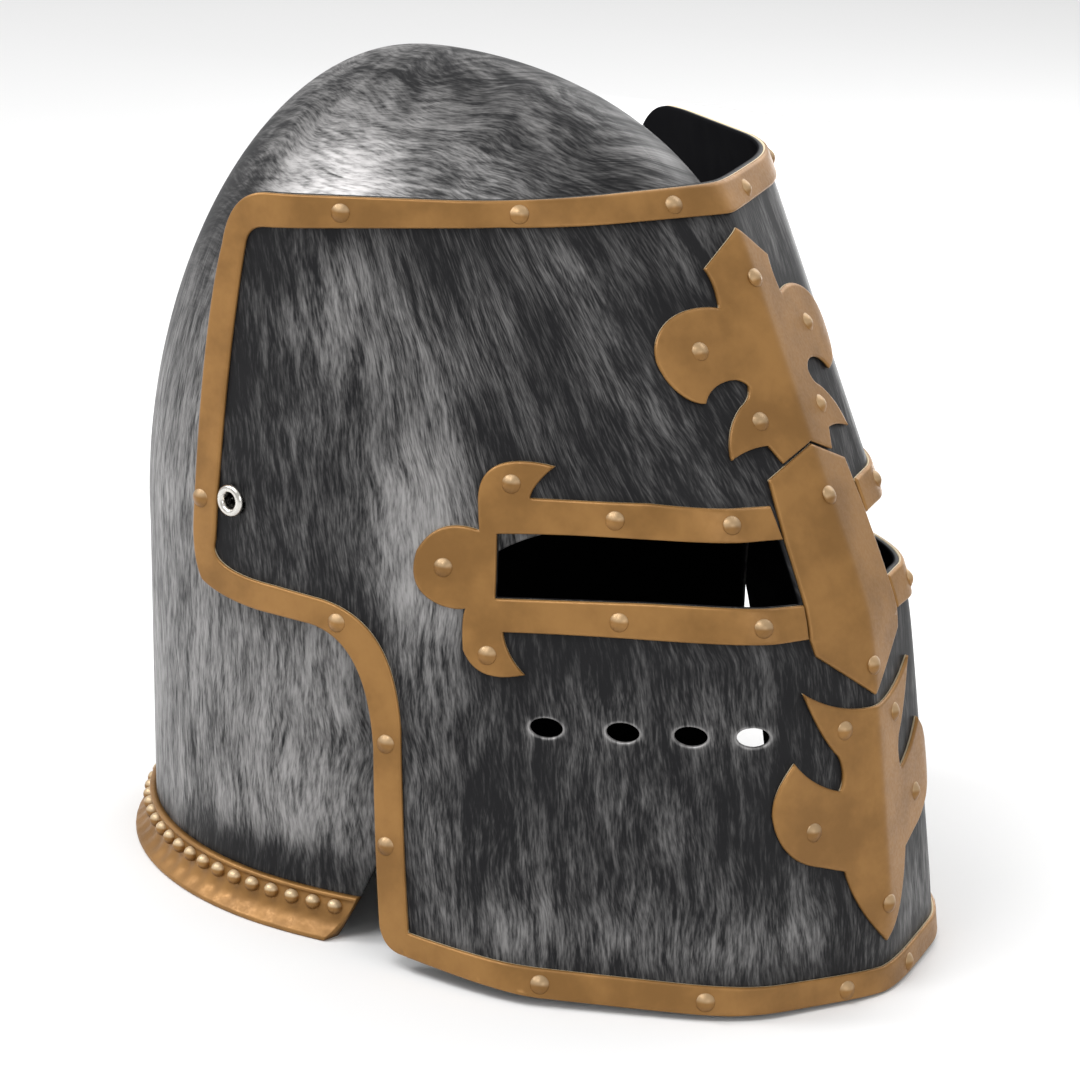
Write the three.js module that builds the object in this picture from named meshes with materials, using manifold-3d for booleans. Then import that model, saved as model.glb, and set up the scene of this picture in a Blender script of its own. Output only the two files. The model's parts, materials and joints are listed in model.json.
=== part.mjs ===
// Costume knight's helmet: a rounded skull with a beaded neck band, and a great-helm visor that
// wraps round the face to a sharp centre ridge and turns up on two eyelet rivets at the temples.
// Millimetres, +Z up, the face towards -Y, the wearer's right towards -X.
//
// The helmet is laid out level, with its eye line near z = 0 and the mirror plane at x = 0, and the
// last lines lean it back so that it stands on its neck band and on the visor's chin.
import * as THREE from "three";
import { mergeVertices } from "three/addons/utils/BufferGeometryUtils.js";
import Module from "manifold-3d";

const wasm = await Module();
wasm.setup();

// ---- Driving dimensions ------------------------------------------------------------------------

const WALL = 2; // moulded shell
const GAP = 0.3; // between pieces that touch on the real helmet
const TRIM_GAP = 0.4; // and under the trim, whose faces are cut from the same cells as the visor
const TRIM = 1.0; // how thick the raised gold trim is
const CELL_ALONG = 10; // facets of the visor, along its level sections
const CELL_UP = 15; // and up
const CURVE_STEPS = 4; // facets of each curved stretch of an outline

// Skull: half width, and how far the back, the front and the crown reach.
const SKULL_HALF_WIDTH = 93.5;
const SKULL_BACK = 91.4;
const SKULL_FRONT = 118;
const CROWN_HEIGHT = 146.5;
const CROWN_Y = 43;
const SKULL_MIDDLE_Y = 35;
const SKULL_STRAIGHT_UP_TO = 4;
const SKULL_COLUMNS = 40;
const DOME_ROWS = 8;
const SIDE_ROWS = 3;

// Visor: its top edge, the plane of its bottom edge at y = 0, and its half width at the temples.
const VISOR_TOP = 118;
const VISOR_BOTTOM = -113;
const VISOR_HALF_WIDTH = 97.5;
const VISOR_BACK_Y = 62;

// Where the visor turns: the hinge line runs along X through this point.
const PIVOT_Y = 36;
const PIVOT_Z = 26;

// Resting plane: z = REST_Z + y tan(REST_TILT) in the level layout.
const REST_TILT = THREE.MathUtils.degToRad(4.75);
const REST_Z = -103.8;
const CENTRE_Y = -6.27; // middle of the leaned helmet's length, which becomes y = 0

// ---- Materials ---------------------------------------------------------------------------------

const material = (color, roughness, metalness) =>
  new THREE.MeshStandardMaterial({ color, roughness, metalness });
const brushedPlastic = material(0x4a4b4c, 0.45, 0.6);
const goldPaint = material(0x946b38, 0.5, 0.5);
const nickel = material(0xb9b8b4, 0.3, 1);

// ---- Mesh helpers ------------------------------------------------------------------------------

// A closed manifold-3d solid from a three.js geometry.
function solidFrom(geometry) {
  const bare = geometry.clone();
  bare.deleteAttribute("normal");
  bare.deleteAttribute("uv");
  const merged = mergeVertices(bare, 1e-4);
  const corners = merged.index.array;
  const kept = [];
  for (let i = 0; i < corners.length; i += 3) {
    const [a, b, c] = [corners[i], corners[i + 1], corners[i + 2]];
    if (a !== b && b !== c && c !== a) kept.push(a, b, c);
  }
  return new wasm.Manifold(
    new wasm.Mesh({
      numProp: 3,
      vertProperties: new Float32Array(merged.attributes.position.array),
      triVerts: new Uint32Array(kept),
    }),
  );
}

// A three.js geometry from a manifold-3d solid.
function geometryFrom(solid) {
  const { vertProperties, triVerts } = solid.getMesh();
  const geometry = new THREE.BufferGeometry();
  geometry.setAttribute("position", new THREE.BufferAttribute(vertProperties, 3));
  geometry.setIndex(new THREE.BufferAttribute(triVerts, 1));
  return geometry;
}

// Moves every vertex of a geometry through `place`, a function of x, y and z that gives a Vector3.
function warp(geometry, place) {
  const at = geometry.attributes.position;
  for (let i = 0; i < at.count; i++) {
    const moved = place(at.getX(i), at.getY(i), at.getZ(i));
    at.setXYZ(i, moved.x, moved.y, moved.z);
  }
  return geometry;
}

// The same mesh with its faces turned over.
function turnedOver(geometry) {
  const corners = geometry.index.array;
  for (let i = 0; i < corners.length; i += 3) {
    [corners[i], corners[i + 1]] = [corners[i + 1], corners[i]];
  }
  return geometry;
}

// The mirror image of a solid across x = 0.
function mirrored(solid) {
  const image = warp(geometryFrom(solid), (x, y, z) => new THREE.Vector3(-x, y, z));
  return solidFrom(turnedOver(image));
}

// A closed ring of loops of points, each joined to the next and the last to the first.
function loftedLoops(loops) {
  const across = loops[0].length;
  const faces = [];
  loops.forEach((_, i) => {
    const here = i * across;
    const there = ((i + 1) % loops.length) * across;
    for (let j = 0; j < across; j++) {
      const next = (j + 1) % across;
      faces.push(here + j, there + next, here + next, here + j, there + j, there + next);
    }
  });
  const geometry = new THREE.BufferGeometry();
  const numbers = loops.flat().flatMap((p) => [p.x, p.y, p.z]);
  geometry.setAttribute("position", new THREE.Float32BufferAttribute(numbers, 3));
  geometry.setIndex(faces);
  return solidFrom(geometry);
}

// ---- The visor's surface -----------------------------------------------------------------------
// A point on it is given by s, the length along the level section from the ridge towards the
// wearer's right, by its height z, and by h, how far it stands out of the visor's outer face.

// A value that runs smoothly from the visor's bottom through its middle to its top.
function alongHeight(z, bottom, middle, top) {
  const t = THREE.MathUtils.clamp((z - VISOR_BOTTOM) / (VISOR_TOP - VISOR_BOTTOM), -0.03, 1.02);
  return bottom * (1 - t) * (1 - 2 * t) + middle * 4 * t * (1 - t) + top * t * (2 * t - 1);
}

// The centre ridge leans back above the eyes and hangs nearly straight below them.
function ridgeY(z) {
  const fromKink = z + 2.2;
  return -122.6 + 0.28 * fromKink + 0.18 * Math.hypot(fromKink, 8);
}

// How wide the ridge is rounded: it is crisp between the two ends of the visor.
function ridgeRounding(z) {
  const low = THREE.MathUtils.clamp((-82 - z) / 24, 0, 1);
  const high = THREE.MathUtils.clamp((z - 100) / 18, 0, 1);
  return 10 * low ** 1.5 + 5 * high ** 1.5;
}

// Control polygon of the level section at height z: a front facet swept back from the ridge, a
// steeper side facet and a straight run past the temple.
function sectionPolygon(z) {
  const sweep = THREE.MathUtils.degToRad(alongHeight(z, 19.5, 15, 22));
  const cornerX = alongHeight(z, 50, 41, 60);
  const ridge = new THREE.Vector2(0, ridgeY(z));
  const corner = new THREE.Vector2(-cornerX, ridge.y + cornerX * Math.tan(sweep));
  const temple = new THREE.Vector2(-VISOR_HALF_WIDTH, alongHeight(z, -54, 8, 28));
  const end = new THREE.Vector2(-VISOR_HALF_WIDTH, VISOR_BACK_Y);
  const beforeCorner = ridge.clone().lerp(corner, alongHeight(z, 0.5, 0.5, 0.15));
  const afterCorner = corner.clone().lerp(temple, alongHeight(z, 0.5, 0.5, 0.6));
  const polygon = [ridge, beforeCorner, corner, afterCorner, temple, end];
  return { sweep, polygon };
}

// Point and direction on the quadratic B-spline of a polygon, at g from 0 to its last segment.
function onSpline(polygon, g) {
  const last = polygon.length - 3;
  const k = Math.min(Math.floor(g), last);
  const t = g - k;
  const from = k === 0 ? polygon[0] : polygon[k].clone().lerp(polygon[k + 1], 0.5);
  const bend = polygon[k + 1];
  const to = k === last ? polygon[last + 2] : bend.clone().lerp(polygon[k + 2], 0.5);
  const start = from.clone().lerp(bend, t);
  const finish = bend.clone().lerp(to, t);
  return { point: start.clone().lerp(finish, t), along: finish.sub(start).normalize() };
}

const SPLINE_STEPS = 80;
const sections = new Map();

// The section at height z with the length run at each of its steps.
function sectionAt(z) {
  if (!sections.has(z)) {
    const { sweep, polygon } = sectionPolygon(z);
    const range = polygon.length - 2;
    const lengths = [0];
    let before = polygon[0];
    for (let i = 1; i <= SPLINE_STEPS; i++) {
      const { point } = onSpline(polygon, (i / SPLINE_STEPS) * range);
      lengths.push(lengths[i - 1] + point.distanceTo(before));
      before = point;
    }
    sections.set(z, { sweep, polygon, range, lengths });
  }
  return sections.get(z);
}

function visorPoint(s, z, h) {
  const { sweep, polygon, range, lengths } = sectionAt(z);
  // Offset faces meet on the ridge in a mitre, which fades out along the section.
  const run = s - h * Math.tan(sweep) * Math.exp(-s / 12);
  const step = lengths.findIndex((length) => length > run);
  let g = range;
  if (step > 0) {
    const share = (run - lengths[step - 1]) / (lengths[step] - lengths[step - 1]);
    g = ((step - 1 + share) / SPLINE_STEPS) * range;
  }
  if (run < 0) g = 0;
  const { point, along } = onSpline(polygon, g);
  const beyond = run < 0 ? run : Math.max(0, run - lengths[SPLINE_STEPS]);
  point.addScaledVector(along, beyond);
  const x = s < 1e-4 ? 0 : point.x - h * along.y;
  const rounded = Math.tan(sweep) * (Math.hypot(s, ridgeRounding(z)) - s);
  return new THREE.Vector3(x, point.y + h * along.x + rounded, z);
}

// A little doming keeps the cells of a flat grid through a boolean, which would merge level ones.
const doming = (s, z) => (s * s + z * z) / 3000;

// A flat outline in s and z, raised on the wearer's right of the visor from `inner` to `outer`. The
// cells that it is cut from lie on one grid, so the faces of neighbouring pieces run side by side.
function raised(shape, inner, outer) {
  const outline = shape.getPoints(CURVE_STEPS);
  const bounds = new THREE.Box2().setFromPoints(outline);
  const from = [Math.floor(bounds.min.x / CELL_ALONG), Math.floor(bounds.min.y / CELL_UP)];
  const cells = [
    Math.ceil(bounds.max.x / CELL_ALONG + 0.01) - from[0],
    Math.ceil(bounds.max.y / CELL_UP + 0.01) - from[1],
  ];
  const size = [cells[0] * CELL_ALONG, cells[1] * CELL_UP, outer - inner];
  const grid = new THREE.BoxGeometry(...size, ...cells, 1);
  grid.translate(from[0] * CELL_ALONG + size[0] / 2, from[1] * CELL_UP + size[1] / 2, (inner + outer) / 2);
  warp(grid, (s, z, h) => new THREE.Vector3(s, z, h + doming(s, z)));
  const prism = new THREE.ExtrudeGeometry(shape, {
    depth: 60,
    curveSegments: CURVE_STEPS,
    bevelEnabled: false,
  });
  const cut = solidFrom(grid).intersect(solidFrom(prism.translate(0, 0, -10)));
  const place = (s, z, h) => visorPoint(s, z, h - doming(s, z));
  return solidFrom(turnedOver(warp(geometryFrom(cut), place)));
}

// A piece that crosses the ridge, from the outline of its right half.
function raisedBothSides(shape, inner, outer) {
  const right = raised(shape, inner, outer);
  return right.add(mirrored(right));
}

// ---- Outlines on the visor, in s and z -----------------------------------------------------------

// Follows a list of steps: two numbers are a straight line, four a quadratic and six a cubic curve.
function traced(start, steps, path = new THREE.Shape()) {
  path.moveTo(...start);
  for (const step of steps) {
    if (step.length === 2) path.lineTo(...step);
    if (step.length === 4) path.quadraticCurveTo(...step);
    if (step.length === 6) path.bezierCurveTo(...step);
  }
  return path;
}

// The edge of the visor's right half from the ridge at the top round to the ridge at the bottom:
// level top, rounded corner, back edge, S-shaped step below the temple, front of the cheek, bottom.
const VISOR_EDGE = [
  [137.4, VISOR_TOP],
  [149.5, 117.5, 158.7, 101.8],
  [174.2, 80, 205, 18.4],
  [211, 6, 209.2, 0.3],
  [204, -4, 190.5, -5.7],
  [178, -6.6, 172.3, -7.1],
  [154, -9.5, 154.8, -40.7],
  [159.4, -93],
  [159, -99.8, 153, -100.6],
  [110, -106.8],
  [55, -111.6],
  [0, -114.2],
];

// The inner edge of the border, from the ridge at the bottom back to the ridge at the top.
const BORDER_INNER_EDGE = [
  [50, -103.4],
  [110, -98.5],
  [149.4, -93.6],
  [145.4, -34.4],
  [145, -1.5, 168.1, 0.9],
  [181.8, 2.5],
  [206, 4, 199.2, 12.8],
  [172.4, 66, 150.7, 102],
  [147.6, 107.4, 142.5, 107.8],
  [72, 110.6],
  [30, 110],
  [0, 109.5],
];

function visorOutline() {
  return traced([0, VISOR_TOP], VISOR_EDGE);
}

function borderOutline() {
  return traced([0, VISOR_TOP], [...VISOR_EDGE, [0, -106.6], ...BORDER_INNER_EDGE]);
}

// The slot's long edges and its slanted outer end, from its lower inner corner round to the upper.
const EYE_SLOT_EDGE = [
  [52, 7.2, 75, 6.3],
  [112, 5.2],
  [105, 23.6],
  [63, 26, 20.8, 22.4],
];

function eyeSlotOutline() {
  return traced([21.1, 4.4], EYE_SLOT_EDGE);
}

// Two bars along the eye slot, a round lobe behind it, and a hook above and below the lobe.
function eyeFrameOutline() {
  return traced(
    [21.1, 4.4],
    [
      ...EYE_SLOT_EDGE,
      [21.2, 31.6],
      [57, 34.6],
      [91.4, 34.4],
      [89, 38.5, 80.5, 43.8],
      [101, 48, 107, 33.5],
      [108.5, 29.5, 110, 24.4],
      [121, 28, 131, 17.5],
      [139, 6, 129, 2.2],
      [125, 1, 122, 1.7],
      [124.5, -2, 124.9, -10],
      [122, -20, 107.2, -16.2],
      [112.4, -11, 112.2, -4.3],
      [70, -3, 22.2, -5],
    ],
  );
}

// A fleur-de-lis leaf over the brow: a pointed leaf, a round lobe, a crescent cut and a barb.
function upperFleurOutline() {
  return traced(
    [0, 105.5],
    [
      [15.5, 95.6],
      [13.6, 91, 15.2, 85],
      [27, 87.6, 40.5, 83, 41.3, 73],
      [41.2, 66.5, 36.5, 61, 30.6, 60.6],
      [28, 64.5, 21.9, 65.5],
      [16.5, 66.3, 14.6, 63.5],
      [15, 60.2, 19.4, 58.3],
      [27.5, 53, 28.9, 44.9],
      [22, 47.5, 15, 47.2],
      [12, 41.9],
      [0, 46.6],
    ],
  );
}

// A long kite over the nose.
function centrePlateOutline() {
  return traced(
    [0, 45.9],
    [
      [18.7, 38.3],
      [20.2, 22.4],
      [20.7, 4.4],
      [21.7, -5],
      [20.4, -10.2],
      [0, -24.8],
    ],
  );
}

// The fleur over the mouth: a horn, a deep curl, a round lobe and a long stem down to a point.
function lowerFleurOutline() {
  return traced(
    [0, -28],
    [
      [14, -28.5, 26.3, -19.9],
      [21, -34, 15, -40.5],
      [12.4, -46, 15.3, -50.6],
      [25, -47.5, 31, -39.6],
      [38.4, -46, 39, -54],
      [38.4, -68, 24, -71.6],
      [19, -73.3, 15.3, -74.5],
      [12, -88, 0, -98.5],
    ],
  );
}

// ---- Sub-parts -----------------------------------------------------------------------------------

const VENTS = [42.5, 60.4, 80.1, 102.4];
const VENT_Z = -31.3;
const SHANK_RADIUS = 3.2;

// A drill along X through both temples at the pivot.
function pivotDrill() {
  const drill = new THREE.CylinderGeometry(SHANK_RADIUS + GAP, SHANK_RADIUS + GAP, 240, 24);
  return solidFrom(drill.rotateZ(Math.PI / 2).translate(0, PIVOT_Y, PIVOT_Z));
}

// The visor's wall with an eye slot and four vents on each side.
function visorShell() {
  const outline = visorOutline();
  outline.holes.push(eyeSlotOutline());
  for (const s of VENTS) {
    outline.holes.push(new THREE.Path().absellipse(s, VENT_Z, 4.8, 2.8, 0, 2 * Math.PI));
  }
  return raisedBothSides(outline, -WALL, 0).subtract(pivotDrill());
}

// The skull's level section at height z, `inset` mm inside its outer face.
function skullSection(z, inset) {
  const crown = CROWN_HEIGHT - inset;
  const t = THREE.MathUtils.clamp((z - SKULL_STRAIGHT_UP_TO) / (crown - SKULL_STRAIGHT_UP_TO), 0, 1);
  const closing = 1 - Math.pow(t, 1.87);
  const brow = Math.sqrt(1 - Math.pow(THREE.MathUtils.clamp(z / crown, 0, 1), 4));
  const middleY = THREE.MathUtils.lerp(SKULL_MIDDLE_Y, CROWN_Y, t);
  return {
    half: (SKULL_HALF_WIDTH - inset) * Math.pow(closing, 0.56),
    back: (SKULL_BACK - inset) * Math.pow(closing, 0.45),
    front: middleY - CROWN_Y + (SKULL_FRONT - inset) * brow,
    middleY,
  };
}

// A point on that section, at a turn from the back (0) through the wearer's left to the front.
function skullPoint(turn, z, inset) {
  const { half, back, front, middleY } = skullSection(z, inset);
  const [side, fore] = [Math.sin(turn), Math.cos(turn)];
  if (fore >= 0) return new THREE.Vector3(half * side, middleY + back * fore, z);
  // The face side is a little pointed: a superellipse of exponent 1.8.
  const power = 2 / 1.8;
  const x = half * Math.sign(side) * Math.pow(Math.abs(side), power);
  return new THREE.Vector3(x, middleY - front * Math.pow(-fore, power), z);
}

const turns = Array.from({ length: SKULL_COLUMNS }, (_, i) => (i / SKULL_COLUMNS) * 2 * Math.PI);

// The height of the resting plane, in the level layout.
const restingZ = (y) => REST_Z + y * Math.tan(REST_TILT);

// Loops of points from the skull's base up to the crown.
function skullLoops(inset) {
  const loops = [];
  for (let row = 0; row < SIDE_ROWS; row++) {
    loops.push(
      turns.map((turn) => {
        const point = skullPoint(turn, 0, inset);
        point.z = THREE.MathUtils.lerp(restingZ(point.y) + GAP, 0, row / SIDE_ROWS);
        return point;
      }),
    );
  }
  for (let row = 0; row <= DOME_ROWS; row++) {
    const z = (CROWN_HEIGHT - inset) * Math.sin((row / DOME_ROWS) * (Math.PI / 2));
    loops.push(turns.map((turn) => skullPoint(turn, z, inset)));
  }
  return loops;
}

// Everything in front of the cheeks and under the brow, seen from the side and run through in X.
function faceOpening() {
  const side = new THREE.Shape();
  side.moveTo(10, -112);
  side.bezierCurveTo(-8, -84, -18, -56, -20, -30);
  side.bezierCurveTo(-22, 4, -34, 22, -58, 23);
  side.lineTo(-150, 26);
  side.lineTo(-150, -140);
  side.lineTo(10, -140);
  const block = new THREE.ExtrudeGeometry(side, { depth: 240, curveSegments: 8, bevelEnabled: false });
  return solidFrom(warp(block, (y, z, x) => new THREE.Vector3(x - 120, y, z)));
}

function skullShell() {
  const whole = loftedLoops([...skullLoops(0), ...skullLoops(WALL).reverse()]);
  return whole.subtract(faceOpening()).subtract(pivotDrill());
}

// The neck band's section: how far out of the skull, and how high above the resting plane.
const BAND_SECTION = [
  [GAP, 13.5],
  [1.6, 13.5],
  [2.1, 12.8],
  [1.7, 12.2],
  [2.1, 8.5],
  [3.2, 5.4],
  [5.2, 2.6],
  [6.8, 1.1],
  [6.2, 0],
  [GAP, 0],
];
const BEAD_RADIUS = 2.5;
const BEAD_PITCH = 7.2;
const BEAD_OUT = BEAD_RADIUS + GAP + 0.1;
const BEAD_UP = 9.4;

// A point beside the skull's base, moved out along the normal and up from the resting plane.
function besideBase(turn, out, up) {
  const step = 1e-3;
  const here = skullPoint(turn, 0, 0);
  const along = skullPoint(turn + step, 0, 0).sub(skullPoint(turn - step, 0, 0)).normalize();
  const y = here.y + along.x * out;
  return new THREE.Vector3(here.x - along.y * out, y, restingZ(y) + up);
}

function neckBand() {
  const sections = turns.map((turn) => BAND_SECTION.map(([out, up]) => besideBase(turn, out, up)));
  let band = loftedLoops(sections).subtract(faceOpening());
  const quarterTurns = 400;
  let run = BEAD_PITCH / 2;
  let before = besideBase(0, BEAD_OUT, BEAD_UP);
  for (let i = 1; i < quarterTurns; i++) {
    const at = besideBase((i / quarterTurns) * Math.PI, BEAD_OUT, BEAD_UP);
    run += at.distanceTo(before);
    before = at;
    // The last bead stands a little back from the cheek's edge.
    if (run < BEAD_PITCH || at.y < 6) continue;
    run -= BEAD_PITCH;
    const bead = solidFrom(new THREE.IcosahedronGeometry(BEAD_RADIUS).translate(at.x, at.y, at.z));
    band = band.add(bead).add(mirrored(bead));
  }
  return band;
}

// An eyelet through the visor and the skull, flanged outside and inside, on the hinge line.
function pivotEyelet(side) {
  const profile = [
    [2.3, 87.7],
    [4.4, 87.7],
    [4.4, 88.7],
    [SHANK_RADIUS, 88.7],
    [SHANK_RADIUS, 97.4],
    [4.8, 97.4],
    [4.8, 97.9],
    [4.2, 98.9],
    [3.3, 99.2],
    [2.3, 98.2],
  ];
  const closed = [...profile, profile[0]].map(([radius, out]) => new THREE.Vector2(radius, out));
  const eyelet = new THREE.LatheGeometry(closed, 14);
  const turned = side === "right" ? eyelet.rotateZ(Math.PI / 2) : eyelet.rotateZ(-Math.PI / 2);
  return solidFrom(turned.translate(0, PIVOT_Y, PIVOT_Z));
}

const RIVET_RADIUS = 2.6;
const RIVET_HEIGHT = 1.1;

// A low dome about the Y axis, its flat face at y = 0, or on a plug that reaches down to y = -sunk.
function rivetDome(sunk) {
  const profile = [
    [0, -sunk],
    [RIVET_RADIUS, -sunk],
    [0.75 * RIVET_RADIUS, 0.7 * RIVET_HEIGHT],
    [0, RIVET_HEIGHT],
  ];
  if (sunk > 0) profile.splice(2, 0, [RIVET_RADIUS, 0]);
  return new THREE.LatheGeometry(
    profile.map(([out, up]) => new THREE.Vector2(out, up)),
    8,
  );
}

// Where a rivet stands, and which way it points, on the wearer's right or left of the visor.
function rivetSeat(s, z, side) {
  const step = 0.5;
  const seat = visorPoint(s, z, TRIM_GAP + TRIM + GAP);
  const along = visorPoint(s + step, z, 0).sub(visorPoint(Math.max(s - step, 0), z, 0));
  const up = visorPoint(s, z + step, 0).sub(visorPoint(s, z - step, 0));
  const out = up.cross(along).normalize();
  if (side === "left") {
    seat.x = -seat.x;
    out.x = -out.x;
  }
  return { seat, out };
}

function addRivet(group, name, s, z, side) {
  const mesh = new THREE.Mesh(rivetDome(0), goldPaint);
  const { seat, out } = rivetSeat(s, z, side);
  mesh.name = name;
  mesh.position.copy(seat);
  mesh.quaternion.setFromUnitVectors(new THREE.Vector3(0, 1, 0), out);
  group.add(mesh);
}

// A rivet astride the ridge, cut to sit on the trim's two facets.
function ridgeRivet(z) {
  const sunk = 2.5;
  const dome = rivetDome(sunk);
  const up = visorPoint(0, z + 1, 0).sub(visorPoint(0, z - 1, 0)).normalize();
  const out = new THREE.Vector3(0, -up.z, up.y);
  dome.applyQuaternion(new THREE.Quaternion().setFromUnitVectors(new THREE.Vector3(0, 1, 0), out));
  const seat = visorPoint(0, z, TRIM_GAP + TRIM);
  const solid = solidFrom(dome.translate(seat.x, seat.y, seat.z));
  const under = traced([0, z - 8], [[8, z - 8], [8, z + 8], [0, z + 8]]);
  return solid.subtract(raisedBothSides(under, -sunk, TRIM_GAP + TRIM + GAP));
}

// ---- Assembly ------------------------------------------------------------------------------------

const helmet = new THREE.Group();

function addSolid(name, solid, finish) {
  const mesh = new THREE.Mesh(geometryFrom(solid), finish);
  mesh.name = name;
  helmet.add(mesh);
}

const trimmed = [TRIM_GAP, TRIM_GAP + TRIM];
addSolid("skull_shell", skullShell(), brushedPlastic);
addSolid("neck_band", neckBand(), goldPaint);
addSolid("visor_shell", visorShell(), brushedPlastic);
addSolid("visor_border", raisedBothSides(borderOutline(), ...trimmed), goldPaint);
addSolid("upper_fleur", raisedBothSides(upperFleurOutline(), ...trimmed), goldPaint);
addSolid("centre_plate", raisedBothSides(centrePlateOutline(), ...trimmed), goldPaint);
addSolid("lower_fleur", raisedBothSides(lowerFleurOutline(), ...trimmed), goldPaint);
const eyeFrame = raised(eyeFrameOutline(), ...trimmed);
addSolid("eye_frame_right", eyeFrame, goldPaint);
addSolid("eye_frame_left", mirrored(eyeFrame), goldPaint);
for (const side of ["right", "left"]) addSolid(`pivot_eyelet_${side}`, pivotEyelet(side), nickel);

// Rivets on each side of the visor, by s and z.
const SIDE_RIVETS = {
  border_rivet: [
    [18.1, 113.8],
    [65.3, 114.4],
    [116.8, 113.3],
    [199, 25],
    [162.5, -5.5],
    [150.3, -39],
    [153.5, -69],
    [109, -102.8],
    [61.8, -107],
    [16.2, -110],
  ],
  eye_rivet: [
    [95.2, 38.3],
    [124.4, 13.3],
    [117.6, -11],
    [68.2, 29.6],
    [35.9, 28.6],
    [76.8, 0.9],
    [36.3, 0.4],
  ],
  fleur_rivet: [
    [26.7, 74.7],
    [15, 54.2],
    [12.6, -33],
    [25.9, -60.7],
  ],
};
for (const [kind, seats] of Object.entries(SIDE_RIVETS)) {
  for (const side of ["right", "left"]) {
    seats.forEach(([s, z], i) => addRivet(helmet, `${kind}_${side}_${i + 1}`, s, z, side));
  }
}
const RIDGE_RIVETS = { upper_tip: 92, nose_top: 32, nose_tip: -16, lower_tip: -87 };
for (const [place, z] of Object.entries(RIDGE_RIVETS)) {
  addSolid(`ridge_rivet_${place}`, ridgeRivet(z), goldPaint);
}

// Leaned back onto the resting plane, with the middle of its length over the origin.
helmet.rotation.x = -REST_TILT;
helmet.position.set(0, -CENTRE_Y, -REST_Z * Math.cos(REST_TILT));
const assembly = new THREE.Group();
assembly.add(helmet);
export default assembly;
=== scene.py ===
"""Looks of a costume knight's helmet: brushed black and silver plastic, raised gold trim, nickel eyelets.

The helmet is laid out level in millimetres, as its CAD model is: its eye line is near z = 0, its mirror
plane is x = 0, the face looks towards -Y, and to_world() leans it back into the frame, round the hinge.
"""

import json
import math

import bmesh
import bpy
import numpy as np
from mathutils import Matrix, Vector
from mathutils.bvhtree import BVHTree
from mathutils.geometry import delaunay_2d_cdt
from mathutils.kdtree import KDTree

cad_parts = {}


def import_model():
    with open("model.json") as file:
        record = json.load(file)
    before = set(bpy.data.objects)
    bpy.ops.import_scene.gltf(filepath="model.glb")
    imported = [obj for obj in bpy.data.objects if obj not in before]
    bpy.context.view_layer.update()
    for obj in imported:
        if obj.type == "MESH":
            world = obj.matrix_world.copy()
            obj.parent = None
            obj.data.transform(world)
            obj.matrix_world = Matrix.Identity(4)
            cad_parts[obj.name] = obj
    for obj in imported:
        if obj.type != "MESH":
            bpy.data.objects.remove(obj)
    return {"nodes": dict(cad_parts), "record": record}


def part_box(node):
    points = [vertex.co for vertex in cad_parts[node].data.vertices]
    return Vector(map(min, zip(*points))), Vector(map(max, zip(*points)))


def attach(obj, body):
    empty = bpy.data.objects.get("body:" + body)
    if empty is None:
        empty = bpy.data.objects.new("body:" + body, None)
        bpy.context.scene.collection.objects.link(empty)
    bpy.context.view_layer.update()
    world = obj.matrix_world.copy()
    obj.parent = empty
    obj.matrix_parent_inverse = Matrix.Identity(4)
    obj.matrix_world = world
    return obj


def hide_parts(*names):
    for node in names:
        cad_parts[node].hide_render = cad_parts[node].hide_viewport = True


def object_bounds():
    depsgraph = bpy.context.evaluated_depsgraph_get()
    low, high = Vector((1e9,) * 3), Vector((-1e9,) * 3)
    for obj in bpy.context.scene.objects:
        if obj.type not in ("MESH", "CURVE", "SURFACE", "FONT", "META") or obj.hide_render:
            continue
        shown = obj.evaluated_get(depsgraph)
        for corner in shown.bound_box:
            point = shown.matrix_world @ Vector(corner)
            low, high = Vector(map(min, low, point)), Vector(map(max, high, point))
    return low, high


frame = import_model()
CAD_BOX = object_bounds()

MM = 0.001
HINGE = frame["record"]["behaviour"]["joints"][0]["pos_m"]

# ---- Driving dimensions, in the level layout -----------------------------------------------------

TILT = math.radians(4.75)
PIVOT = np.array([0.0, 36.0, 26.0])  # where the level layout has the hinge
WALL = 2.0
TRIM_TOP = 1.4  # how far the raised trim stands out of the visor
TRIM_FOOT = -0.3  # and how far it reaches into it
SKULL_FOOT = 0.3  # the skull's wall ends this far above the resting plane

SKULL_HALF_WIDTH, SKULL_BACK, SKULL_FRONT = 93.5, 91.4, 118.0
CROWN_HEIGHT, CROWN_Y = 146.5, 43.0
SKULL_MIDDLE_Y, SKULL_STRAIGHT_UP_TO = 35.0, 4.0

VISOR_TOP, VISOR_BOTTOM = 118.0, -113.0
VISOR_HALF_WIDTH, VISOR_BACK_Y = 97.5, 62.0
RIDGE_SOFTNESS = 1.0

REST_Z = -103.8


# ---- From the level layout to the frame ----------------------------------------------------------


def leaned(rows):
    """Directions or offsets of the level layout, turned as the helmet leans."""
    rows = np.atleast_2d(np.asarray(rows, float))
    c, s = math.cos(TILT), math.sin(TILT)
    return np.stack([rows[:, 0], c * rows[:, 1] + s * rows[:, 2], c * rows[:, 2] - s * rows[:, 1]], 1)


def to_world(rows):
    """Points of the level layout in millimetres, in the frame in metres."""
    return leaned(np.atleast_2d(rows) - PIVOT) * MM + np.array(HINGE)


def resting_z(y):
    return REST_Z + y * math.tan(TILT)


# ---- The visor's surface -------------------------------------------------------------------------
# A point on it is given by s, the length along the level section from the ridge towards the wearer's
# right, by its height z, and by h, how far it stands out of the visor's outer face.


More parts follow.
